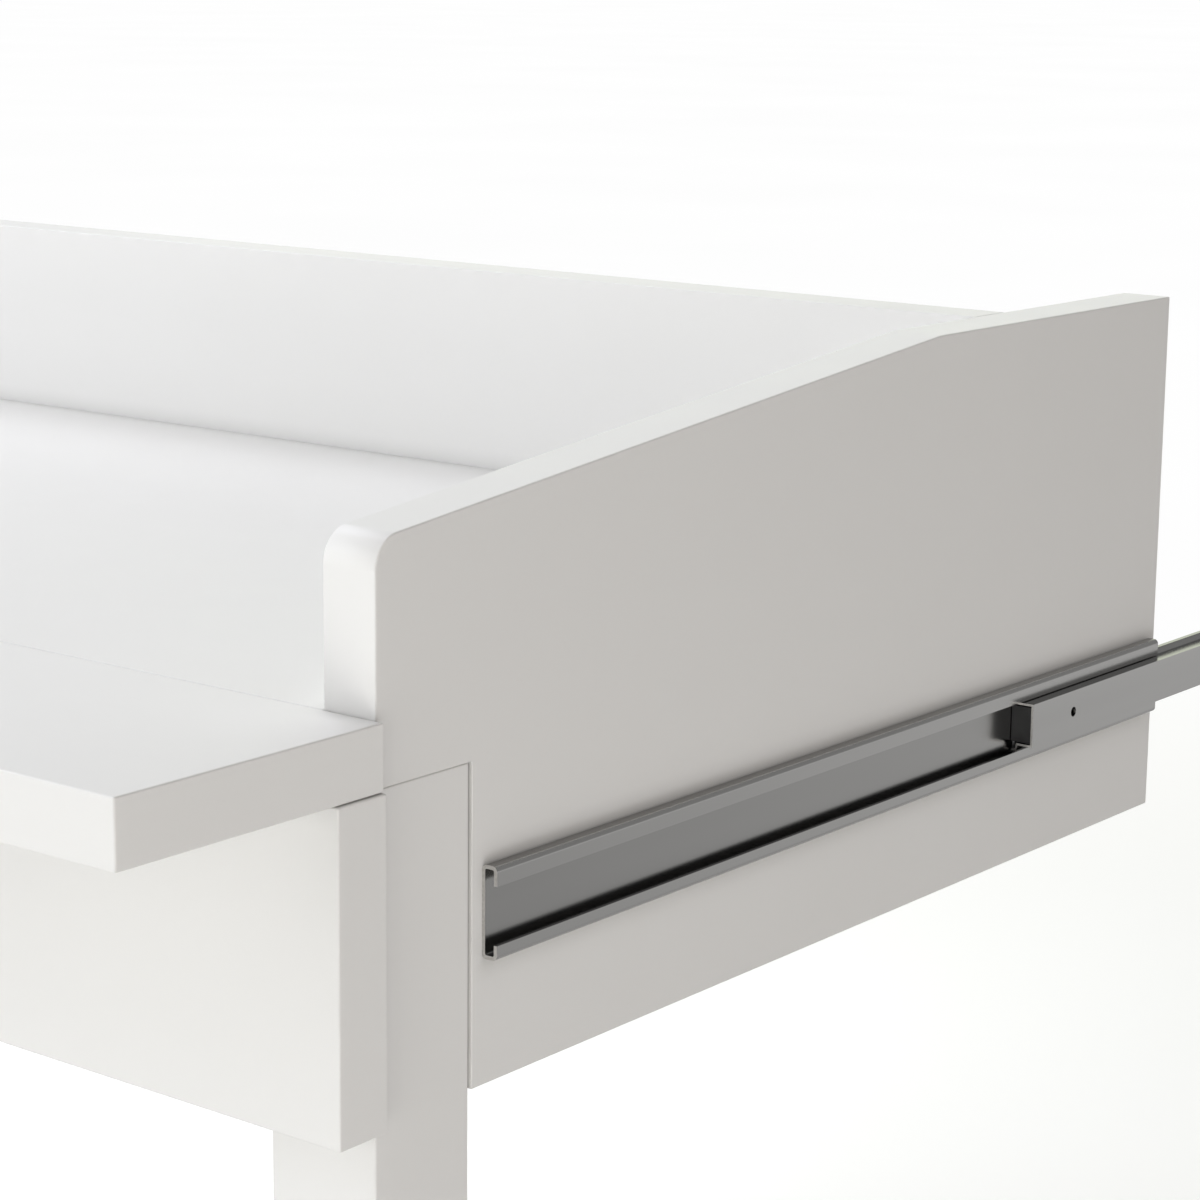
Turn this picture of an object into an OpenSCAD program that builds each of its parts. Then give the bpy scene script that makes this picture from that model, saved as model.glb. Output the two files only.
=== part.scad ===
// Pull-out desk tray with front legs, on a pair of ball slides that fix under a desk.
// +X is the right-hand side seen from the front, +Y runs to the back, +Z is up.
// Origin: on the floor, midway across the width and midway along the full depth, tray pulled out.

/* [Boards] */
// Thickness of every board
board_t = 25; // [22:0.5:28]
// Width over the outer faces of the side panels
tray_w = 1072; // [700:2:1400]
// Depth of the tray, from the ledge's back edge to the back panel
tray_d = 430; // [425:5:455]
// Height of the writing surface above the floor
surface_h = 740; // [680:5:780]
// Gap left showing where one board meets another
reveal = 0.3; // [0.1:0.1:0.5]

/* [Front ledge and apron] */
// How far the ledge stands in front of the apron
ledge = 102; // [60:1:130]
// Height of the apron under the ledge
apron_h = 125; // [120:1:150]
// How far the ledge's ends stand proud of the side panels
ledge_proud = 4; // [0:0.5:6]
// How far the apron's ends stand proud of the side panels
apron_proud = 5; // [0:0.2:6]

/* [Side panels] */
// Height of the flat top above the writing surface
rim_h = 101; // [90:1:110]
// Distance from the apron's face to the end of the slope
kink_y = 386; // [340:1:400]
// Angle of the slope
slope = 5.9; // [3:0.1:8]
// Radius of the front top corner
corner_r = 13; // [5:0.5:16]
// How far the side panels run on behind the slides
side_tail = 9; // [5:1:20]

/* [Legs and feet] */
// Width of the square legs
leg_w = 51; // [48:1:54]
// How far a leg's outer face is set in from the side panel's
leg_inset = 1.2; // [0.5:0.1:2]
// Diameter of the foot pads
pad_d = 32; // [28:1:40]
// Height of the foot pads
pad_h = 6; // [5:0.5:8]
// How far the feet are wound out, and so how far they wind in
foot_travel = 5; // [2:0.5:8]

/* [Slides] */
// Length of each slide member
slide_l = 500; // [480:10:520]
// Height of the channel
slide_h = 36; // [34:0.1:38]
// Depth of the channel, out from the side panel
channel_d = 7.2; // [7:0.1:7.5]
// Distance from the apron's face to the channel's front end
slide_y = 82; // [80:1:90]
// Height of the slides' centre line below the writing surface
slide_drop = 82.5; // [75:0.5:95]
// Gap between a side panel and the desk, which the slide fills
slide_gap = 13; // [12.7:0.1:13.5]
// How far the tray travels from pushed in to fully out
travel = 372; // [340:1:375]

/* [Hidden] */
$fn = 48;

LACQUER = "#eceae5";
BEECH = "#d8b98a";
ZINC = "#b9bcc0";
STEEL = "#8d8e8d";
BRASS = "#c9a55a";
BLACK = "#2b2b2c";
NYLON = "#e6e6e2";

// Main planes, measured from the apron's front face and the writing surface.
half_w = tray_w / 2;
inner_w = tray_w - 2 * board_t;
under = -board_t;                 // underside of the ledge and the tray bottom
bottom = -board_t - apron_h;      // lower edge of the apron and the side panels
front_y = board_t;                // front edge of the side panels and the tray bottom
back_y = front_y + tray_d;        // inner face of the back panel
leg_back = front_y + leg_w;
leg_x = -leg_inset - leg_w / 2;   // middle of a leg, from the side panel's outer face
notch_y = leg_back + reveal;      // rear edge of the side panels' notches for the legs
side_end = slide_y + slide_l + side_tail;
runner_y = slide_y + travel;
full_depth = ledge + runner_y + slide_l;
face_y = ledge - full_depth / 2;  // the apron's face in the part's own frame
corner_lap = 0.01;                // how far the corner's arc stands past the straight edges it meets

// Fasteners
dowel_d = 8;
dowel_l = 30;
panel_dowel_drop = 2;             // how far the apron's dowels stand below the joint
cam_d = 15;
cam_reach = 34;                   // from a board's edge to its cam's middle
cam_lift = 4.8;                   // how far a cam runs on past the middle of the board
cam_bore = 7.2;                   // radial hole that takes the bolt's head
bolt_hole = 8;
bolt_grip = 11;                   // threaded length of a cam bolt
bolt_thread = 6;
side_cam_ys = [front_y + 87, front_y + 235, back_y - 50];
side_dowel_ys = [front_y + 160, front_y + 310];
back_cam_xs = [-0.3 * tray_w, 0, 0.3 * tray_w];
back_cam_zs = [bottom + 40, rim_h - 40];
back_dowel_zs = [bottom + 75, rim_h - 75];
shelf_dowel_xs = [for (i = [-2:2]) i * 0.18 * tray_w];
panel_dowel_xs = [for (i = [-1.5:1:1.5]) i * 0.27 * tray_w];
leg_dowel_zs = [under - 35, under - 90];
leg_bolt_zs = [under - 25, under - 85];
leg_bolt_d = 6;
leg_bolt_play = 0.6;
leg_bolt_x = -board_t - (leg_w + leg_inset - board_t) / 2;
leg_head_d = 10;
washer_d = 12.5;
washer_t = 1.6;
nut_d = 10;
nut_l = 13;
bracket_xs = [-0.24 * tray_w, 0.24 * tray_w];
bracket_leg = 30;
bracket_w = 18;
bracket_t = 2;
screw_d = 4;
screw_l = 16;
screw_out = 18;                   // a bracket screw's distance from the bracket's corner

// Feet
stem_d = 8;
stem_pitch = 1.25;
stem_play = 0.05;
stem_grip = 25;                   // length of the threaded sleeve
sleeve_d = 12;
flange_d = 18;
flange_t = 1.5;
hex_af = 13;
hex_h = 3;
foot_gap = foot_travel + 0.3;     // between the hexagon and the leg
leg_end = pad_h + hex_h + foot_gap - surface_h;
floor_z = -surface_h;

// Slide section: x from the side panel's outer face, z from the slide's centre line
web_t = 1.5;
top_lip = 7.5;
low_lip = 5.9;
bend_r = 2.2;
ball_d = 3.5;
play = 0.05;
clear = 0.3;                      // gap between parts of the slide that pass each other
ball_x = channel_d - web_t - play - ball_d / 2;
ball_z = slide_h / 2 - web_t - play - ball_d / 2;
race_z = ball_z - ball_d / 2 - play;          // the runner's race
runner_t = 1;
runner_half = 10.1;
runner_tip = 2.3;
cage_t = 0.4;
cage_x = web_t + 0.1;
cage_slack = 3;
cage_short = 10;                  // how far the cage stops before the channel's rear end
cage_rim = 6;                     // plain length at each end of a cage
stop_t = 2.5;
stop_in = 0.2;
tab_t = 3;
tab_d = 0.7;
tab_half = 6;
clip_half = 8.4;
cage_y = runner_y + cage_slack;
cage_l = slide_y + slide_l - cage_short - cage_y;
tab_y = cage_y + cage_l + 1;
bumper_y = tab_y + tab_t + travel + clear;
balls_per_row = 8;
ball_pitch = (cage_l - 2 * cage_rim) / balls_per_row;
hole_d = 4.6;                     // screw holes in the runners
hole_in = 37;                     // from a runner's front end to its first screw hole
hole_pitch = 416;
stud_d = 5;
stud_l = 12;
stud_pitch = 142;
stud_ys = [for (i = [0:3]) slide_y + hole_in + i * stud_pitch];

// Puts a shape made from the apron's face and the writing surface in the part's own frame.
module in_place() {
    translate([0, face_y, surface_h]) children();
}

// x = 0 at the side panel's outer face, negative towards the middle of the tray.
module on_right() {
    in_place() translate([half_w, 0, 0]) children();
}

module on_left() {
    mirror([1, 0, 0]) on_right() children();
}

module both_sides() {
    on_right() children();
    on_left() children();
}

// A flat outline in x and z, drawn out along y.
module along_y(start, length) {
    translate([0, start + length, 0]) rotate([90, 0, 0]) linear_extrude(height = length) children();
}

// A flat outline in y and z, drawn out along x.
module along_x(start, length) {
    translate([start, 0, 0]) rotate([90, 0, 90]) linear_extrude(height = length) children();
}

module rod_x(d, start, length) {
    translate([start, 0, 0]) rotate([0, 90, 0]) cylinder(d = d, h = length);
}

module rod_y(d, start, length) {
    translate([0, start, 0]) rotate([-90, 0, 0]) cylinder(d = d, h = length);
}

// Rounded rectangle from its corner circles and two bars, so that its corners are true arcs.
module rounded_box(x0, x1, z0, z1, r) {
    translate([x0 + r, z0]) square([x1 - x0 - 2 * r, z1 - z0]);
    translate([x0, z0 + r]) square([x1 - x0, z1 - z0 - 2 * r]);
    for (x = [x0 + r, x1 - r]) {
        for (z = [z0 + r, z1 - r]) {
            translate([x, z]) circle(r = r);
        }
    }
}

// A fluted dowel along +z, its ends chamfered.
module dowel() {
    chamfer = 1;
    translate([0, 0, -dowel_l / 2]) {
        cylinder(d1 = dowel_d - 2 * chamfer, d2 = dowel_d, h = chamfer);
        translate([0, 0, chamfer]) cylinder(d = dowel_d, h = dowel_l - 2 * chamfer);
        translate([0, 0, dowel_l - chamfer]) cylinder(d1 = dowel_d, d2 = dowel_d - 2 * chamfer, h = chamfer);
    }
}

// Shaft along +z with rings that stand for its thread.
module threaded(d, length, pitch) {
    depth = 0.4;
    turns = floor(length / pitch);
    cylinder(d = d - 2 * depth, h = length);
    for (i = [0:turns - 1]) {
        translate([0, 0, i * pitch]) {
            cylinder(d1 = d - 2 * depth, d2 = d, h = pitch / 2);
            translate([0, 0, pitch / 2]) cylinder(d1 = d, d2 = d - 2 * depth, h = pitch / 2);
        }
    }
}

// Cam along +z from the board's face (z = 0) inwards, with the radial hole towards -x.
module cam(depth) {
    cross = cam_d * 2 / 3;
    slot = 1.6;
    recess = 3;
    difference() {
        cylinder(d = cam_d, h = depth + cam_lift);
        translate([0, 0, depth]) rod_x(cam_bore, -cam_d, cam_d + cam_bore / 2);
        for (turn = [0, 90]) {
            rotate([0, 0, turn]) translate([-cross / 2, -slot / 2, -1]) cube([cross, slot, recess + 1]);
        }
    }
}

// Cam bolt along +x: threaded end at x < 0, then the collar, shank, neck and head.
module cam_bolt() {
    collar = 1.5;
    neck = 4;
    neck_d = 3;
    head = 2.5;
    head_d = 6.4;
    shank = cam_reach - collar - neck - head / 2;
    shank_d = 5;
    pitch = 1.1;
    translate([-bolt_grip, 0, 0]) rotate([0, 90, 0]) threaded(bolt_thread, bolt_grip, pitch);
    rod_x(bolt_hole - 1, 0, collar);
    rod_x(shank_d, collar, shank);
    rod_x(neck_d, collar + shank, neck);
    rod_x(head_d, collar + shank + neck, head);
}

// Pocket in a board for one cam and its bolt: the edge is at x = 0 and the board at x > 0.
module cam_pocket(depth) {
    translate([cam_reach, 0, -depth]) cylinder(d = cam_d, h = depth + cam_lift);
    rod_x(bolt_hole, -1, cam_reach + 1);
}

// Places of the cams, each with its board's edge at x = 0 and its face half a board below.
module at_side_cams() {
    both_sides() {
        for (y = side_cam_ys) {
            translate([-board_t, y, -board_t / 2]) rotate([0, 0, 180]) children();
        }
    }
}

module at_back_cams() {
    in_place() {
        for (x = back_cam_xs) {
            translate([x, back_y, -board_t / 2]) rotate([0, 0, -90]) children();
        }
    }
}

// The back panel's own cams sit in its rear face.
module at_end_cams() {
    both_sides() {
        for (z = back_cam_zs) {
            translate([-board_t, back_y + board_t / 2, z]) rotate([90, 0, 0]) rotate([0, 0, 180]) children();
        }
    }
}

module at_side_dowels() {
    both_sides() {
        for (y = side_dowel_ys) {
            translate([-board_t, y, -board_t / 2]) rotate([0, 90, 0]) children();
        }
    }
}

module at_back_dowels() {
    both_sides() {
        for (z = back_dowel_zs) {
            translate([-board_t, back_y + board_t / 2, z]) rotate([0, 90, 0]) children();
        }
    }
}

module at_shelf_dowels() {
    in_place() {
        for (x = shelf_dowel_xs) {
            translate([x, front_y, -board_t / 2]) rotate([90, 0, 0]) children();
        }
    }
}

// These stand a little low, so that they stay inside the ledge.
module at_panel_dowels() {
    in_place() {
        for (x = panel_dowel_xs) {
            translate([x, front_y / 2, under - panel_dowel_drop]) children();
        }
    }
}

// Two dowels from a leg's back face into the side panel's notch, and one up from its top.
module at_leg_dowels() {
    both_sides() {
        for (z = leg_dowel_zs) {
            translate([-board_t / 2, leg_back, z]) rotate([90, 0, 0]) children();
        }
        translate([-board_t / 2, front_y + leg_w / 2, under]) children();
    }
}

module at_leg_bolts() {
    both_sides() {
        for (z = leg_bolt_zs) {
            translate([leg_bolt_x, 0, z]) children();
        }
    }
}

module at_brackets() {
    in_place() {
        for (x = bracket_xs) {
            translate([x, front_y, under]) children();
        }
    }
}

module at_studs() {
    both_sides() {
        for (y = stud_ys) {
            translate([0, y, -slide_drop]) children();
        }
    }
}

module at_feet() {
    both_sides() translate([leg_x, front_y + leg_w / 2, 0]) children();
}

module front_shelf() {
    color(LACQUER) difference() {
        in_place() translate([-half_w - ledge_proud, -ledge, under])
            cube([tray_w + 2 * ledge_proud, ledge + front_y - reveal, board_t]);
        at_shelf_dowels() cylinder(d = dowel_d, h = dowel_l, center = true);
        at_panel_dowels() cylinder(d = dowel_d, h = dowel_l, center = true);
    }
}

module front_panel() {
    color(LACQUER) difference() {
        in_place() translate([-half_w - apron_proud, 0, bottom])
            cube([tray_w + 2 * apron_proud, board_t, apron_h - reveal]);
        at_panel_dowels() cylinder(d = dowel_d, h = dowel_l, center = true);
        at_leg_bolts() rod_y(nut_d, front_y - nut_l, nut_l + 1);
        at_brackets() translate([0, 0, -screw_out]) rod_y(screw_d, -screw_l, screw_l + 1);
    }
}

module tray_bottom() {
    color(LACQUER) difference() {
        in_place() translate([-inner_w / 2, front_y, under]) cube([inner_w, tray_d, board_t]);
        at_side_cams() cam_pocket(board_t / 2);
        at_back_cams() cam_pocket(board_t / 2);
        at_shelf_dowels() cylinder(d = dowel_d, h = dowel_l, center = true);
        at_side_dowels() cylinder(d = dowel_d, h = dowel_l, center = true);
        at_brackets() translate([0, screw_out, -1]) cylinder(d = screw_d, h = screw_l + 1);
    }
}

module back_panel() {
    color(LACQUER) difference() {
        in_place() translate([-inner_w / 2, back_y, bottom]) cube([inner_w, board_t, rim_h - bottom]);
        at_end_cams() cam_pocket(board_t / 2);
        at_back_cams() rod_x(bolt_thread, -bolt_grip, bolt_grip + 1);
        at_back_dowels() cylinder(d = dowel_d, h = dowel_l, center = true);
    }
}

// Outline of a side panel in y and z. The front top corner is cut off and filled with its arc.
module side_outline() {
    front_z = rim_h - (kink_y - front_y) * tan(slope);
    centre = [front_y + corner_r, front_z + corner_r * tan(slope) - corner_r / cos(slope)];
    reach = 1.1 * corner_r;
    difference() {
        polygon([
            [notch_y, bottom],
            [side_end, bottom],
            [side_end, rim_h],
            [kink_y, rim_h],
            [front_y, front_z],
            [front_y, under],
            [notch_y, under],
        ]);
        difference() {
            polygon([
                centre,
                centre + reach * [-sin(slope), cos(slope)],
                centre + reach * [-1, 1],
                centre + reach * [-1, 0],
            ]);
            translate(centre) circle(r = corner_r + corner_lap);
        }
    }
}

module side_panel() {
    along_x(-board_t, board_t) side_outline();
}

module side_holes() {
    at_side_cams() rod_x(bolt_thread, -bolt_grip, bolt_grip + 1);
    at_end_cams() rod_x(bolt_thread, -bolt_grip, bolt_grip + 1);
    at_side_dowels() cylinder(d = dowel_d, h = dowel_l, center = true);
    at_back_dowels() cylinder(d = dowel_d, h = dowel_l, center = true);
    at_leg_dowels() cylinder(d = dowel_d, h = dowel_l, center = true);
    at_studs() rod_x(stud_d, -stud_l, stud_l + 1);
}

module side_panel_right() {
    color(LACQUER) difference() {
        on_right() side_panel();
        side_holes();
    }
}

module side_panel_left() {
    color(LACQUER) difference() {
        on_left() side_panel();
        side_holes();
    }
}

// A square leg, drilled for its bolts, its dowels and the foot's sleeve.
module leg() {
    translate([leg_x - leg_w / 2, front_y, leg_end]) cube([leg_w, leg_w, under - reveal - leg_end]);
}

module leg_holes() {
    at_leg_dowels() cylinder(d = dowel_d, h = dowel_l, center = true);
    at_leg_bolts() rod_y(leg_bolt_d + leg_bolt_play, 0, 2 * leg_back);
    at_feet() {
        translate([0, 0, leg_end - 1]) cylinder(d = sleeve_d, h = stem_grip + 1);
        translate([0, 0, leg_end - 1]) cylinder(d = flange_d, h = flange_t + 1);
        translate([0, 0, leg_end]) cylinder(d = stem_d + 1, h = stem_grip + 2 * foot_gap);
    }
}

module leg_right() {
    color(LACQUER) difference() {
        on_right() leg();
        leg_holes();
    }
}

module leg_left() {
    color(LACQUER) difference() {
        on_left() leg();
        leg_holes();
    }
}

module shelf_dowels() {
    color(BEECH) at_shelf_dowels() dowel();
}

module panel_dowels() {
    color(BEECH) at_panel_dowels() dowel();
}

module side_dowels() {
    color(BEECH) at_side_dowels() dowel();
}

module back_dowels() {
    color(BEECH) at_back_dowels() dowel();
}

module leg_dowels() {
    color(BEECH) at_leg_dowels() dowel();
}

module placed_cam() {
    translate([cam_reach, 0, -board_t / 2]) cam(board_t / 2);
}

module tray_cams() {
    color(ZINC) {
        at_side_cams() placed_cam();
        at_back_cams() placed_cam();
    }
}

module tray_cam_bolts() {
    color(ZINC) {
        at_side_cams() cam_bolt();
        at_back_cams() cam_bolt();
    }
}

module back_cams() {
    color(ZINC) at_end_cams() placed_cam();
}

module back_cam_bolts() {
    color(ZINC) at_end_cams() cam_bolt();
}

// Shallow domed covers on the back panel's rear face.
module cam_caps() {
    cap_d = 18;
    cap_h = 1.6;
    color(LACQUER) at_end_cams() translate([cam_reach, 0, -board_t / 2 - cap_h]) {
        cylinder(d1 = cap_d - 2, d2 = cap_d, h = cap_h / 2);
        translate([0, 0, cap_h / 2]) cylinder(d = cap_d, h = cap_h / 2);
    }
}

// Socket-head bolts, from behind each leg into the front panel's nuts.
module leg_bolts() {
    head_h = leg_bolt_d;
    socket_af = 5;
    color(ZINC) at_leg_bolts() {
        translate([0, front_y - nut_l + 1, 0]) rotate([-90, 0, 0])
            cylinder(d = leg_bolt_d, h = nut_l - 1 + leg_w + washer_t);
        difference() {
            rod_y(leg_head_d, leg_back + washer_t, head_h);
            translate([0, leg_back + washer_t + head_h / 2, 0]) rotate([-90, 0, 0])
                cylinder(d = socket_af / cos(30), h = head_h, $fn = 6);
        }
    }
}

module leg_washers() {
    color(ZINC) at_leg_bolts() difference() {
        rod_y(washer_d, leg_back, washer_t);
        rod_y(leg_bolt_d, leg_back - 1, washer_t + 2);
    }
}

module leg_nuts() {
    color(BRASS) at_leg_bolts() difference() {
        rod_y(nut_d, front_y - nut_l, nut_l);
        rod_y(leg_bolt_d, front_y - nut_l + 1, nut_l);
    }
}

module angle_brackets() {
    color(ZINC) difference() {
        at_brackets() translate([-bracket_w / 2, 0, -bracket_leg]) {
            difference() {
                cube([bracket_w, bracket_leg, bracket_leg]);
                translate([-1, bracket_t, -1])
                    cube([bracket_w + 2, bracket_leg, bracket_leg - bracket_t + 1]);
            }
        }
        at_brackets() {
            translate([0, 0, -screw_out]) rod_y(screw_d, -1, bracket_t + 2);
            translate([0, screw_out, -bracket_t - 1]) cylinder(d = screw_d, h = bracket_t + 2);
        }
    }
}

// Pan-head wood screw: the shank runs along +z from the head's underside.
module wood_screw(length) {
    head_d = 7.5;
    head_h = 2.2;
    slot = 1.2;
    cross = 4;
    tip = 3;
    tip_d = 0.6;
    difference() {
        translate([0, 0, -head_h]) cylinder(d1 = head_d - 2, d2 = head_d, h = head_h);
        for (turn = [0, 90]) {
            rotate([0, 0, turn]) translate([-cross / 2, -slot / 2, -head_h - 1]) cube([cross, slot, 2]);
        }
    }
    cylinder(d = screw_d, h = length - tip);
    translate([0, 0, length - tip]) cylinder(d1 = screw_d, d2 = tip_d, h = tip);
}

module bracket_screws() {
    color(ZINC) at_brackets() {
        translate([0, screw_out, -bracket_t]) wood_screw(screw_l);
        translate([0, bracket_t, -screw_out]) rotate([90, 0, 0]) wood_screw(screw_l);
    }
}

// Threaded sleeve in a leg's end. Its flange is let in flush.
module foot_sockets() {
    color(ZINC) at_feet() difference() {
        union() {
            translate([0, 0, leg_end]) cylinder(d = flange_d, h = flange_t);
            translate([0, 0, leg_end]) cylinder(d = sleeve_d, h = stem_grip);
        }
        translate([0, 0, leg_end - 1]) cylinder(d = stem_d + 2 * stem_play, h = stem_grip + 2);
    }
}

module foot_stem() {
    translate([leg_x, front_y + leg_w / 2, floor_z + pad_h]) {
        cylinder(d = hex_af / cos(30), h = hex_h, $fn = 6);
        translate([0, 0, -pad_h / 2]) cylinder(d = stem_d, h = pad_h / 2);
        translate([0, 0, hex_h]) threaded(stem_d, foot_gap + stem_grip, stem_pitch);
    }
}

module foot_stem_right() {
    color(ZINC) on_right() foot_stem();
}

module foot_stem_left() {
    color(ZINC) on_left() foot_stem();
}

module foot_pad() {
    rim = 1.5;
    translate([leg_x, front_y + leg_w / 2, floor_z]) difference() {
        union() {
            cylinder(d1 = pad_d - 2, d2 = pad_d, h = rim);
            translate([0, 0, rim]) cylinder(d = pad_d, h = pad_h / 2 - rim);
            translate([0, 0, pad_h / 2]) cylinder(d1 = pad_d, d2 = pad_d / 2, h = pad_h / 2);
        }
        translate([0, 0, pad_h / 2]) cylinder(d = stem_d, h = pad_h);
    }
}

module foot_pad_right() {
    color(NYLON) on_right() foot_pad();
}

module foot_pad_left() {
    color(NYLON) on_left() foot_pad();
}

// Roll-formed channel with turned-in lips and, near its rear end, a tab lanced from the web.
module channel_section() {
    half = slide_h / 2;
    difference() {
        rounded_box(0, channel_d, -half, half, bend_r);
        rounded_box(web_t, channel_d - web_t, web_t - half, half - web_t, bend_r - web_t);
        translate([channel_d - web_t - 0.1, low_lip - half])
            square([web_t + 1, slide_h - low_lip - top_lip]);
    }
}

module slide_channel() {
    translate([0, 0, -slide_drop]) {
        along_y(slide_y, slide_l) channel_section();
        translate([web_t / 2, tab_y, -tab_half]) cube([web_t / 2 + tab_d, tab_t, 2 * tab_half]);
    }
}

module slide_channel_right() {
    color(STEEL) on_right() slide_channel();
}

module slide_channel_left() {
    color(STEEL) on_left() slide_channel();
}

// Studs welded behind the channels' webs and pressed into the side panels.
module channel_studs() {
    color(ZINC) at_studs() rod_x(stud_d, -stud_l, stud_l);
}

// Runner section: web on the desk's side, flanges that step out to the ball races.
module runner_section() {
    step_x = channel_d - web_t - 0.2;
    step_w = 0.9;
    slant = 0.7;
    outer = [
        [slide_gap, runner_half],
        [step_x, runner_half],
        [step_x - step_w, race_z],
        [runner_tip, race_z],
    ];
    inner = [
        [runner_tip, race_z - runner_t],
        [step_x - step_w - slant, race_z - runner_t],
        [step_x - slant, runner_half - runner_t],
        [slide_gap - runner_t, runner_half - runner_t],
    ];
    upper = concat(outer, inner);
    lower = [for (i = [len(upper) - 1:-1:0]) [upper[i][0], -upper[i][1]]];
    polygon(concat(upper, lower));
}

module runner() {
    translate([0, 0, -slide_drop]) difference() {
        along_y(runner_y, slide_l) runner_section();
        for (y = [hole_in, hole_in + hole_pitch]) {
            translate([0, runner_y + y, 0]) rod_x(hole_d, slide_gap - 3, 4);
        }
    }
}

module runner_right() {
    color(STEEL) on_right() runner();
}

module runner_left() {
    color(STEEL) on_left() runner();
}

// A block that fills the runner's section and reaches across to the channel's web.
module clip(y, length) {
    translate([web_t + clear, y, -slide_drop - clip_half])
        cube([slide_gap - runner_t - web_t - clear, length, 2 * clip_half]);
}

module runner_stops() {
    color(BLACK) both_sides() clip(runner_y + stop_in, stop_t);
}

module runner_bumpers() {
    color(BLACK) both_sides() clip(bumper_y, runner_y + slide_l - bumper_y);
}

function ball_ys() = [for (i = [0:balls_per_row - 1]) cage_y + cage_rim + (i + 0.5) * ball_pitch];

// Cage: a strip beside the channel's web, with fingers that reach in between the balls.
module ball_cage() {
    finger_z = race_z + clear;
    finger_h = slide_h / 2 - web_t - 2 * clear - finger_z;
    finger_x = channel_d - web_t - clear - cage_x;
    finger_in = 4;
    hole = ball_d + 2 * clear;
    translate([0, 0, -slide_drop]) difference() {
        union() {
            translate([cage_x, cage_y, -finger_z - finger_h])
                cube([cage_t, cage_l, 2 * (finger_z + finger_h)]);
            for (z = [finger_z, -finger_z - finger_h]) {
                translate([cage_x, cage_y + finger_in, z]) cube([finger_x, cage_l - 2 * finger_in, finger_h]);
            }
        }
        for (y = ball_ys()) {
            for (z = [-ball_z, ball_z]) {
                translate([ball_x, y, z]) cylinder(d = hole, h = ball_d + 1, center = true);
            }
        }
    }
}

module ball_cage_right() {
    color(ZINC) on_right() ball_cage();
}

module ball_cage_left() {
    color(ZINC) on_left() ball_cage();
}

module balls() {
    for (y = ball_ys()) {
        for (z = [-ball_z, ball_z]) {
            translate([ball_x, y, z - slide_drop]) sphere(d = ball_d);
        }
    }
}

module balls_right() {
    color(STEEL) on_right() balls();
}

module balls_left() {
    color(STEEL) on_left() balls();
}

front_shelf();
front_panel();
tray_bottom();
back_panel();
side_panel_right();
side_panel_left();
leg_right();
leg_left();
shelf_dowels();
panel_dowels();
side_dowels();
back_dowels();
leg_dowels();
tray_cams();
tray_cam_bolts();
back_cams();
back_cam_bolts();
cam_caps();
leg_bolts();
leg_washers();
leg_nuts();
angle_brackets();
bracket_screws();
foot_sockets();
foot_stem_right();
foot_stem_left();
foot_pad_right();
foot_pad_left();
slide_channel_right();
slide_channel_left();
channel_studs();
runner_right();
runner_left();
runner_stops();
runner_bumpers();
ball_cage_right();
ball_cage_left();
balls_right();
balls_left();
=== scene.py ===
"""Looks of the under desk drawer: a white lacquered tray with a front shelf and legs, on two ball-bearing slides."""

import math

import bmesh
import bpy
from mathutils import Matrix, Vector
from mathutils.bvhtree import BVHTree


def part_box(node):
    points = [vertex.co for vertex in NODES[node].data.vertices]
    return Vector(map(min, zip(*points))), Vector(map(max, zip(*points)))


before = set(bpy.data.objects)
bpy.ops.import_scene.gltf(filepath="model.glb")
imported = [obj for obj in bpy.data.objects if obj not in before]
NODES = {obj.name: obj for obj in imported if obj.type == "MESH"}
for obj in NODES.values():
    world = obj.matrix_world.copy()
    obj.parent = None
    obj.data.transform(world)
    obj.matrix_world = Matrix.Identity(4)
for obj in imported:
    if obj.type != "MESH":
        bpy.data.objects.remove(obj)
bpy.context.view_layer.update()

MM = 0.001
EDGE = 0.8 * MM      # radius of the lacquered boards' rounded edges
WELD = 0.002 * MM    # points closer than this are one point
BOARDS = ("front_shelf", "front_panel", "tray_bottom", "back_panel", "side_panel_right", "side_panel_left",
          "leg_right", "leg_left")

# Painted contact shade: the lacquer's colour darkens by up to a share where something stands within a reach.
CONTACT_REACH = 10.0 * MM
CONTACT_SHADE = 0.74

# The steel's colours, and its painted shade and light: darker inside the channels, in the races and on the tops,
# brighter on the lips' insides.
STEEL_DARK = (0.405, 0.40, 0.39)
STEEL_LIGHT = (0.435, 0.43, 0.42)
SHEAR_DARK = (0.50, 0.49, 0.475)
SHEAR_LIGHT = (0.60, 0.59, 0.575)
STEEL_ROUGH, SHEAR_ROUGH = 0.21, 0.5
SHADE_INSIDE, SHADE_RACE, SHADE_TOP, LIP_LIGHT = 0.16, 0.10, 0.45, 0.6
SHEET_MARGIN = 1.0 * MM      # within the channel's sheet, which is 1.5 mm thick
RACE_DEPTH = 5.9 * MM        # from the channel's outside to the inner edge of a ball race

# ---------------------------------------------------------------- materials


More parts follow.
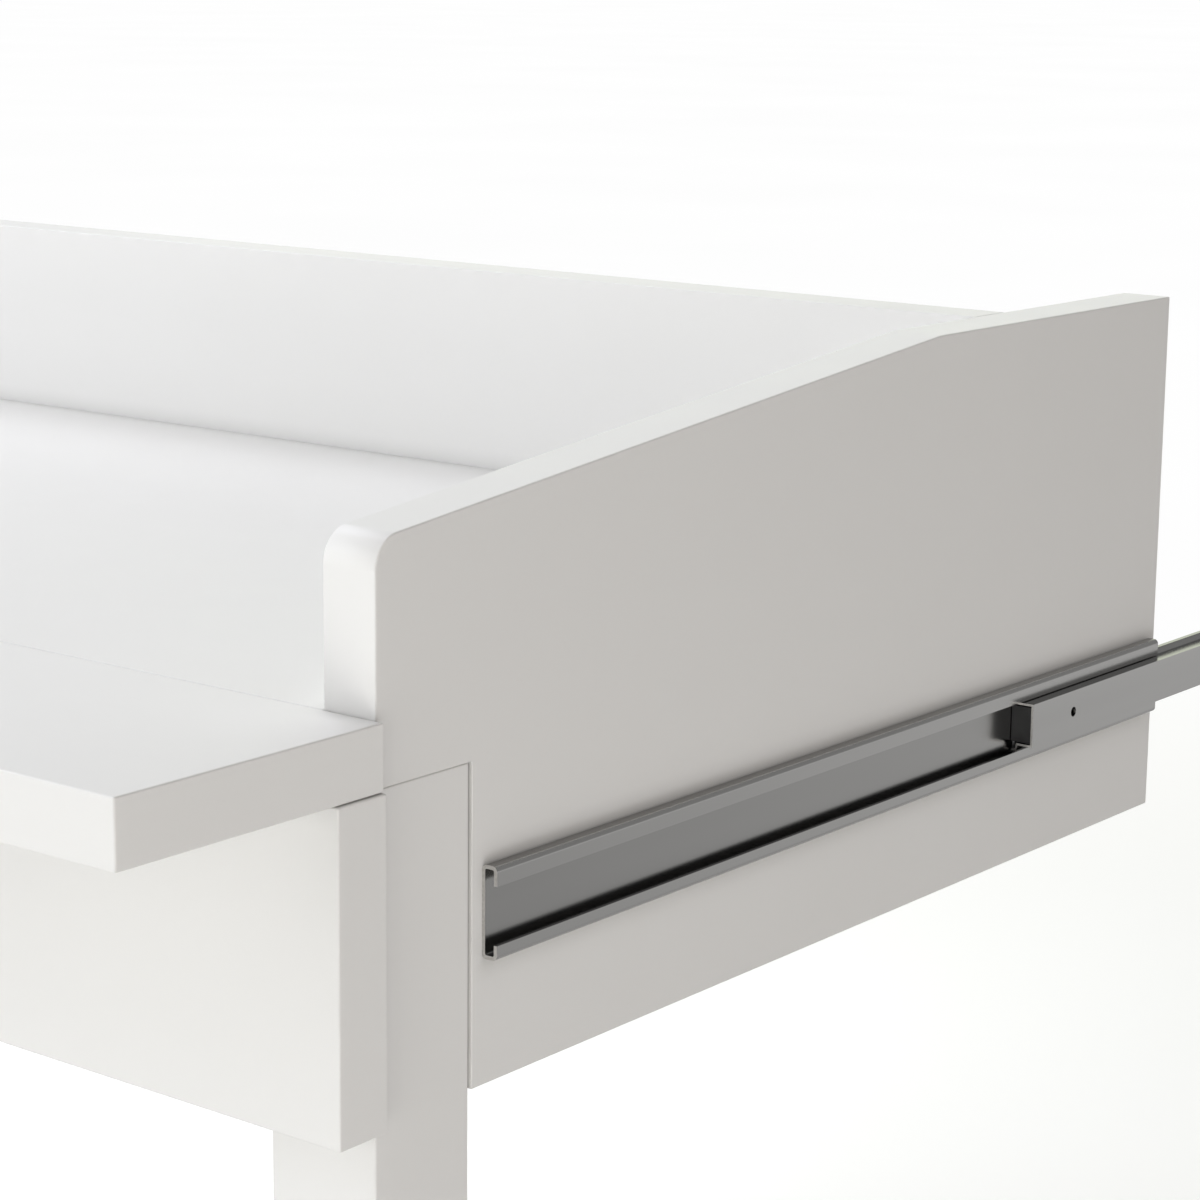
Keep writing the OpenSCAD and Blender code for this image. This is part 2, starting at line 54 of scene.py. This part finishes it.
class Finish:
    """A material built from nodes around one Principled shader. Textures use the part's own metres."""

    def __init__(self, name, **shader_inputs):
        self.material = bpy.data.materials.new(name)
        self.material.use_nodes = True
        self.tree = self.material.node_tree
        self.tree.nodes.clear()
        output = self.add("ShaderNodeOutputMaterial")
        self.shader = self.add("ShaderNodeBsdfPrincipled", shader_inputs)
        self.tree.links.new(self.shader.outputs["BSDF"], output.inputs["Surface"])
        self.where = self.add("ShaderNodeTexCoord").outputs["Object"]

    def put(self, socket, value):
        """Links a socket to another, or sets its value."""
        if isinstance(value, bpy.types.NodeSocket):
            self.tree.links.new(value, socket)
        else:
            socket.default_value = value

    def add(self, kind, inputs=None, **settings):
        """A new node, with its settings and its inputs set."""
        node = self.tree.nodes.new(kind)
        for name, value in settings.items():
            setattr(node, name, value)
        for name, value in (inputs or {}).items():
            self.put(node.inputs[name], value)
        return node

    def stretched(self, scale):
        """The part's coordinates, multiplied along each axis."""
        return self.add("ShaderNodeMapping", {"Vector": self.where, "Scale": scale}).outputs["Vector"]

    def noise(self, scale, detail=2.0, rough=0.5, where=None):
        """A grey noise of about 1/scale metres."""
        inputs = {"Vector": where or self.where, "Scale": scale, "Detail": detail, "Roughness": rough}
        return self.add("ShaderNodeTexNoise", inputs).outputs["Fac"]

    def cells(self, scale, where=None):
        """Cells of about 1/scale metres, each of one random value."""
        inputs = {"Vector": where or self.where, "Scale": scale}
        return self.add("ShaderNodeTexVoronoi", inputs).outputs["Color"]

    def between(self, source, low, high, source_low=0.3, source_high=0.7):
        """Maps a source to a range of values."""
        inputs = {"Value": source, "From Min": source_low, "From Max": source_high, "To Min": low, "To Max": high}
        return self.add("ShaderNodeMapRange", inputs).outputs["Result"]

    def step(self, source, at, fade):
        """0 below a value and 1 above it, with a short fade."""
        return self.between(source, 0.0, 1.0, at - fade / 2, at + fade / 2)

    def colours(self, source, low, high, source_low=0.3, source_high=0.7):
        """Goes from one colour to another as a source rises."""
        factor = self.between(source, 0.0, 1.0, source_low, source_high)
        return self.blend(factor, (*low, 1.0), (*high, 1.0))

    def blend(self, factor, first, second):
        """Blends two colours, sockets or values, by a factor from 0 to 1."""
        mix = self.add("ShaderNodeMix", data_type="RGBA")
        self.put(mix.inputs["Factor"], factor)
        self.put(mix.inputs["A"], first)
        self.put(mix.inputs["B"], second)
        return mix.outputs["Result"]

    def nearness(self, reach):
        """How much of the view from a point is blocked within that reach, from 0 to 1."""
        open_share = self.add("ShaderNodeAmbientOcclusion", {"Distance": reach}, samples=6).outputs["AO"]
        return self.math("SUBTRACT", 1.0, open_share)

    def math(self, operation, *values):
        """A calculation on sockets or numbers."""
        return self.add("ShaderNodeMath", dict(enumerate(values)), operation=operation).outputs["Value"]

    def shade(self, colour, factor):
        """A colour multiplied by a grey factor."""
        scaled = self.add("ShaderNodeVectorMath", {0: colour}, operation="SCALE")
        self.put(scaled.inputs["Scale"], factor)
        return scaled.outputs["Vector"]

    def bump(self, height, depth, strength=1.0, below=None):
        """A bump of that depth in metres, on top of another one."""
        inputs = {"Height": height, "Distance": depth, "Strength": strength}
        if below is not None:
            inputs["Normal"] = below
        return self.add("ShaderNodeBump", inputs).outputs["Normal"]

    def set(self, **values):
        """Sets the shader's inputs. An underscore in a name stands for a space."""
        for name, value in values.items():
            self.put(self.shader.inputs[name.replace("_", " ")], value)


def lacquer():
    """Satin white lacquer on fibreboard, with a slight orange peel, and painted contact shade where parts stand
    close.
    """
    f = Finish("white_lacquer")
    cloud = f.noise(2.5, 3.0)
    peel = f.noise(260.0, 2.0)
    grit = f.noise(1500.0, 1.0)
    # Painted contact shade: the base colour is darkened where other surfaces stand close.
    shadow = f.between(f.nearness(CONTACT_REACH), 1.0, CONTACT_SHADE, 0.0, 1.0)
    f.set(
        Base_Color=f.shade(f.colours(cloud, (0.815, 0.808, 0.790), (0.835, 0.828, 0.812)), shadow),
        Roughness=f.between(f.noise(30.0, 3.0), 0.46, 0.54),
        Normal=f.bump(grit, 0.000004, below=f.bump(peel, 0.000012)),
        IOR=1.5,
    )
    return f.material


def channel_masks(f, place):
    """Where a steel point is inside a slide's channel, and where it is in one of its ball races."""
    low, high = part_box("slide_channel_right")
    middle = (low.z + high.z) / 2
    half = (high.z - low.z) / 2
    fade = 0.2 * MM
    out = f.math("ABSOLUTE", place.outputs["X"])
    drop = f.math("ABSOLUTE", f.math("SUBTRACT", place.outputs["Z"], middle))
    past_web = f.step(out, low.x + SHEET_MARGIN, fade)
    before_lip = f.math("SUBTRACT", 1.0, f.step(out, high.x - SHEET_MARGIN, fade))
    between_flanges = f.math("SUBTRACT", 1.0, f.step(drop, half - SHEET_MARGIN, fade))
    inside = f.math("MULTIPLY", f.math("MULTIPLY", past_web, before_lip), between_flanges)
    return inside, f.math("MULTIPLY", inside, f.step(drop, half - RACE_DEPTH, 1.0 * MM))


def rolled_steel():
    """Bright rolled strip, with cut ends, painted shade inside the channels that is darkest in the ball races, a
    painted darker reflection on the tops and painted light on the lips' insides.
    """
    f = Finish("rolled_steel", Metallic=1.0)
    broad = f.noise(1.0, 2.0, where=f.stretched((40.0, 1.5, 40.0)))
    lines = f.noise(1.0, 2.0, where=f.stretched((1400.0, 5.0, 1400.0)))
    place = f.add("ShaderNodeSeparateXYZ", {"Vector": f.where})
    facing = f.add("ShaderNodeSeparateXYZ", {"Vector": f.add("ShaderNodeNewGeometry").outputs["True Normal"]})
    inside, race = channel_masks(f, place)
    cut = f.step(f.math("ABSOLUTE", facing.outputs["Y"]), 0.9, 0.1)
    # Painted shade: faces looking up get a darker colour, standing in for the darker reflection they show.
    top = f.between(facing.outputs["Z"], 0.0, SHADE_TOP, 0.90, 0.98)
    outwards = f.math("MULTIPLY", facing.outputs["X"], f.math("SIGN", place.outputs["X"]))
    # Painted light: the inner faces of the lips are made brighter.
    lip = f.math("MULTIPLY", inside, f.between(outwards, 1.0, 0.0, -0.95, -0.85))
    # Painted shade: darker inside the channels, and darker still in the ball races.
    painted_shade = f.math("ADD", f.math("MULTIPLY", inside, SHADE_INSIDE), f.math("MULTIPLY", race, SHADE_RACE))
    bright = f.math("ADD", 1.0, f.math("MULTIPLY", lip, LIP_LIGHT))
    painted_shading = f.math("SUBTRACT", bright, f.math("ADD", painted_shade, top))
    rolled = f.shade(f.colours(broad, STEEL_DARK, STEEL_LIGHT), painted_shading)
    f.set(
        Base_Color=f.blend(cut, rolled, f.colours(f.noise(900.0), SHEAR_DARK, SHEAR_LIGHT)),
        Roughness=f.between(cut, STEEL_ROUGH, SHEAR_ROUGH, 0.0, 1.0),
        Normal=f.bump(lines, 0.0000008),
    )
    return f.material


def zinc():
    """Zinc plate with a faint crystal mottle."""
    f = Finish("zinc_plate", Metallic=1.0)
    mottle = f.cells(450.0)
    fine = f.noise(1600.0, 2.0)
    f.set(
        Base_Color=f.colours(mottle, (0.56, 0.575, 0.59), (0.66, 0.67, 0.68), 0.0, 1.0),
        Roughness=f.between(fine, 0.26, 0.38),
        Normal=f.bump(fine, 0.000006),
    )
    return f.material


def ball_steel():
    """Polished bearing steel."""
    f = Finish("ball_steel", Metallic=1.0)
    f.set(
        Base_Color=f.colours(f.noise(900.0), (0.62, 0.62, 0.62), (0.68, 0.68, 0.68)),
        Roughness=f.between(f.noise(1500.0), 0.07, 0.12),
    )
    return f.material


def brass():
    """Turned brass with fine tool lines round its axis."""
    f = Finish("turned_brass", Metallic=1.0)
    lines = f.noise(1.0, 2.0, where=f.stretched((300.0, 3000.0, 300.0)))
    f.set(
        Base_Color=f.colours(f.noise(200.0), (0.66, 0.47, 0.20), (0.74, 0.54, 0.26)),
        Roughness=f.between(lines, 0.24, 0.36),
        Normal=f.bump(lines, 0.000008),
    )
    return f.material


def beech(name, along):
    """Pale beech with its flecks and pores along one axis."""
    f = Finish(name)
    scale = [420.0, 420.0, 420.0]
    scale["XYZ".index(along)] = 18.0
    grain = f.noise(1.0, 4.0, 0.6, where=f.stretched(scale))
    f.set(
        Base_Color=f.colours(grain, (0.50, 0.33, 0.19), (0.68, 0.50, 0.32)),
        Roughness=f.between(grain, 0.75, 0.60),
        Normal=f.bump(grain, 0.00005),
    )
    return f.material


def plastic(name, dark, light, rough, soft=0.0):
    """Moulded plastic with a fine spark-eroded texture."""
    f = Finish(name)
    skin = f.noise(1800.0, 2.0)
    f.set(
        Base_Color=f.colours(f.noise(120.0, 3.0), dark, light),
        Roughness=f.between(skin, rough - 0.06, rough + 0.06),
        Normal=f.bump(skin, 0.00001),
        Subsurface_Weight=soft,
        Subsurface_Radius=(0.002, 0.0018, 0.0015),
    )
    return f.material


# ---------------------------------------------------------------- the pieces

FINISHES = {
    "lacquer": lacquer(),
    "slide_steel": rolled_steel(),
    "zinc": zinc(),
    "ball_steel": ball_steel(),
    "brass": brass(),
    "black_plastic": plastic("black_plastic", (0.012, 0.012, 0.013), (0.020, 0.020, 0.021), 0.48),
    "white_plastic": plastic("white_plastic", (0.74, 0.74, 0.73), (0.79, 0.79, 0.78), 0.40),
    "nylon": plastic("nylon", (0.58, 0.57, 0.54), (0.64, 0.63, 0.60), 0.45, soft=0.3),
}
BEECH = {axis: beech("beech_" + axis.lower(), axis) for axis in "XYZ"}
DOWEL_AXES = {
    "shelf_dowels": "Y",
    "panel_dowels": "Z",
    "side_dowels": "X",
    "back_dowels": "X",
    "leg_dowels": "Z",
}


def outline(mesh, sharp=34.0, long=6.0 * MM, touching=0.02 * MM, clear=0.5 * MM):
    """1 for a board's outer edges: the sharp ones that are long, or that bound its convex hull. Bores get 0.

    An edge bounds the hull when it touches it, and a step of 1 mm off either face leaves it."""
    hull = bmesh.new()
    for vertex in mesh.vertices:
        hull.verts.new(vertex.co)
    bmesh.ops.remove_doubles(hull, verts=hull.verts, dist=WELD)
    bmesh.ops.convex_hull(hull, input=hull.verts)
    skin = BVHTree.FromBMesh(hull)
    hull.free()

    def ends(a, b):
        """The same key for two unwelded edges in one place."""
        return frozenset(tuple(round(value / WELD / 2) for value in mesh.vertices[i].co) for i in (a, b))

    normals = {}
    for face in mesh.polygons:
        for pair in face.edge_keys:
            normals.setdefault(ends(*pair), []).append(face.normal.copy())
    chosen = []
    for edge in mesh.edges:
        a, b = (mesh.vertices[i].co for i in edge.vertices)
        sides = normals[ends(*edge.vertices)]
        bend = max(math.degrees(m.angle(n, 0.0)) for m in sides for n in sides)
        middle = (a + b) / 2
        on_hull = skin.find_nearest(middle)[3] < touching
        leaves_hull = all(skin.find_nearest(middle + n * MM)[3] > clear for n in sides)
        rim = (a - b).length > long or (on_hull and leaves_hull)
        chosen.append(1.0 if bend > sharp and rim else 0.0)
    return chosen


def soften(node, width, steps=3, level=0.3, sharp=40.0):
    """Rounds a board's outer edges. The glTF mesh is welded first, and its flat faces are made whole."""
    weights = node.data.attributes.new("bevel_weight_edge", "FLOAT", "EDGE")
    weights.data.foreach_set("value", outline(node.data))
    weld = node.modifiers.new("weld", "WELD")
    weld.merge_threshold = WELD
    flat = node.modifiers.new("flat", "DECIMATE")
    flat.decimate_type = "DISSOLVE"
    flat.angle_limit = math.radians(level)
    edge = node.modifiers.new("edge", "BEVEL")
    edge.width = width
    edge.segments = steps
    edge.limit_method = "WEIGHT"
    edge.use_clamp_overlap = False
    edge.harden_normals = True
    split = node.modifiers.new("split", "EDGE_SPLIT")
    split.split_angle = math.radians(sharp)
    split.use_edge_sharp = False


for name, node in NODES.items():
    slot = node.data.materials[0].name
    node.data.materials[0] = BEECH[DOWEL_AXES[name]] if slot == "beech" else FINISHES[slot]

for name in BOARDS:
    soften(NODES[name], EDGE)

# ---------------------------------------------------------------- studio

right_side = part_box("side_panel_right")[1].x
apron_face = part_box("front_panel")[0].y
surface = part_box("tray_bottom")[1].z
DRAWER = Vector((0.3, -0.3, 0.72))      # what the far lamps are aimed at
FLOOR_LIT = (0.62, 1.22)          # the floor's colour for light that bounces off it, and for the camera
FLOOR_WHITE = (1.4, 3.0)          # the camera sees the floor turn pure white between these distances
MIRRORED_GREY = (0.53, 0.74)      # what the steel mirrors of the floor, near the part and far behind it
MIRRORED_FROM, MIRRORED_TO = 1.2, 2.3
MIRRORED_SKY = 0.36               # what the steel mirrors above the floor
EYE = (0.70953, -0.75915, 0.26525)      # from the right side panel, the apron's face and the writing surface
YAW, PITCH, ROLL, LENS = 37.965, 11.872, 0.612, 94.227


def floor_material():
    """A white studio floor. The camera sees it fade to pure white, and the steel mirrors it as a plain grey."""
    f = Finish("studio_floor")
    rays = f.add("ShaderNodeLightPath").outputs
    seen, mirrored = rays["Is Camera Ray"], rays["Is Glossy Ray"]
    place = f.add("ShaderNodeNewGeometry").outputs["Position"]
    distance = f.add("ShaderNodeVectorMath", {0: place}, operation="LENGTH").outputs["Value"]
    wash = f.colours(f.noise(0.6, 2.0), (0.985, 0.985, 0.985), (1.0, 1.0, 1.0))
    lit = f.add("ShaderNodeBsdfDiffuse", {"Color": f.shade(wash, f.between(seen, *FLOOR_LIT, 0.0, 1.0))})
    back = f.add("ShaderNodeSeparateXYZ", {"Vector": place}).outputs["Y"]
    behind = f.between(back, *MIRRORED_GREY, MIRRORED_FROM, MIRRORED_TO)
    level = f.math("ADD", f.math("MULTIPLY", mirrored, behind), seen)
    glow = f.add("ShaderNodeEmission", {"Color": wash, "Strength": level})
    share = f.math("ADD", mirrored, f.math("MULTIPLY", seen, f.between(distance, 0.0, 1.0, *FLOOR_WHITE)))
    mix = f.add("ShaderNodeMixShader", {0: share, 1: lit.outputs["BSDF"], 2: glow.outputs["Emission"]})
    out = [n for n in f.tree.nodes if n.bl_idname == "ShaderNodeOutputMaterial"][0]
    f.tree.links.new(mix.outputs["Shader"], out.inputs["Surface"])
    return f.material


def studio_floor(size=400.0):
    """A square floor that reaches far behind everything."""
    mesh = bpy.data.meshes.new("studio_floor")
    half = size / 2
    corners = [(-half, -half, 0.0), (half, -half, 0.0), (half, half, 0.0), (-half, half, 0.0)]
    mesh.from_pydata(corners, [], [(0, 1, 2, 3)])
    mesh.materials.append(floor_material())
    floor = bpy.data.objects.new("studio_floor", mesh)
    bpy.context.scene.collection.objects.link(floor)


def studio_sky(tint, strength, mirrored):
    """White for the camera, an even dim light for the object, and a plain grey in the steel."""
    world = bpy.data.worlds.new("studio")
    bpy.context.scene.world = world
    world.use_nodes = True
    tree = world.node_tree
    tree.nodes.clear()
    link = tree.links.new
    ray = tree.nodes.new("ShaderNodeLightPath").outputs
    colour = (*(strength * part for part in tint), 1.0)
    for kind, grey in (("Is Glossy Ray", mirrored), ("Is Camera Ray", 1.0)):
        shown = tree.nodes.new("ShaderNodeMix")
        shown.data_type = "RGBA"
        link(ray[kind], shown.inputs["Factor"])
        if isinstance(colour, tuple):
            shown.inputs["A"].default_value = colour
        else:
            link(colour, shown.inputs["A"])
        shown.inputs["B"].default_value = (grey, grey, grey, 1.0)
        colour = shown.outputs["Result"]
    back = tree.nodes.new("ShaderNodeBackground")
    link(colour, back.inputs["Color"])
    link(back.outputs["Background"], tree.nodes.new("ShaderNodeOutputWorld").inputs["Surface"])


def softbox(name, place, target, size, power, tint):
    """A square lamp aimed at a point."""
    light = bpy.data.lights.new(name, "AREA")
    light.shape = "SQUARE"
    light.size = size
    light.energy = power
    light.color = tint
    lamp = bpy.data.objects.new(name, light)
    lamp.location = place
    lamp.rotation_euler = (Vector(target) - Vector(place)).to_track_quat("-Z", "Y").to_euler()
    lamp.visible_camera = False
    bpy.context.scene.collection.objects.link(lamp)


def far_softbox(name, turn, lift, power, tint, distance=4.0, size=2.4):
    """A softbox at an angle round the drawer, 0 in front and positive to the right, and an angle above the floor."""
    turn, lift = math.radians(turn), math.radians(lift)
    away = Vector((math.sin(turn) * math.cos(lift), -math.cos(turn) * math.cos(lift), math.sin(lift)))
    softbox(name, DRAWER + distance * away, DRAWER, size, power, tint)


def camera():
    """Stands off the right front corner, looking down at the slide."""
    yaw, pitch, roll = math.radians(YAW), math.radians(PITCH), math.radians(ROLL)
    forward = Vector((-math.sin(yaw) * math.cos(pitch), math.cos(yaw) * math.cos(pitch), -math.sin(pitch)))
    level = Vector((math.cos(yaw), math.sin(yaw), 0.0))
    upright = level.cross(forward)
    right = math.cos(roll) * level + math.sin(roll) * upright
    up = math.cos(roll) * upright - math.sin(roll) * level
    data = bpy.data.cameras.new("camera")
    data.sensor_width = 36.0
    data.lens = LENS
    data.clip_start, data.clip_end = 0.05, 800.0
    eye = bpy.data.objects.new("camera", data)
    eye.matrix_world = Matrix((
        (right.x, up.x, -forward.x, right_side + EYE[0]),
        (right.y, up.y, -forward.y, apron_face + EYE[1]),
        (right.z, up.z, -forward.z, surface + EYE[2]),
        (0.0, 0.0, 0.0, 1.0),
    ))
    bpy.context.scene.collection.objects.link(eye)
    bpy.context.scene.camera = eye


# Name, angle round the drawer, angle above the floor, power, tint.
FAR_LAMPS = (
    ("left_low", -70.0, 8.0, 10.5, (1.176, 1.036, 0.787)),
    ("left_high", -110.0, 45.0, 75.0, (0.973, 0.981, 1.047)),
    ("right_high", 100.0, 45.0, 23.5, (0.976, 0.978, 1.046)),
    ("right_low", 70.0, 8.0, 24.8, (1.067, 0.986, 0.946)),
    ("front_low", -35.0, 8.0, 61.4, (0.965, 0.995, 1.040)),
    ("left_back", -150.0, 8.0, 18.6, (1.039, 1.102, 0.859)),
)
# Name, place, target, size, power, tint.
NEAR_LAMPS = (
    ("near_left", (-1.4, -1.6, 2.0), (0.2, -0.2, 0.74), 1.0, 20.1, (0.941, 0.982, 1.077)),
    ("near_front", (1.0, -2.2, 0.15), (0.54, -0.2, 0.68), 0.8, 12.0, (1.029, 1.016, 0.955)),
    ("near_right", (1.5, -0.9, 0.15), (0.54, -0.2, 0.68), 0.6, 2.7, (0.991, 0.999, 1.010)),
    ("near_back", (0.0, 0.9, 1.9), (0.2, 0.0, 0.74), 1.0, 3.1, (0.974, 1.037, 0.990)),
)

studio_floor()
studio_sky((1.070, 1.030, 0.900), 0.165, MIRRORED_SKY)
for lamp in FAR_LAMPS:
    far_softbox(*lamp)
for lamp in NEAR_LAMPS:
    softbox(*lamp)
camera()
bpy.context.scene.view_settings.view_transform = "Standard"
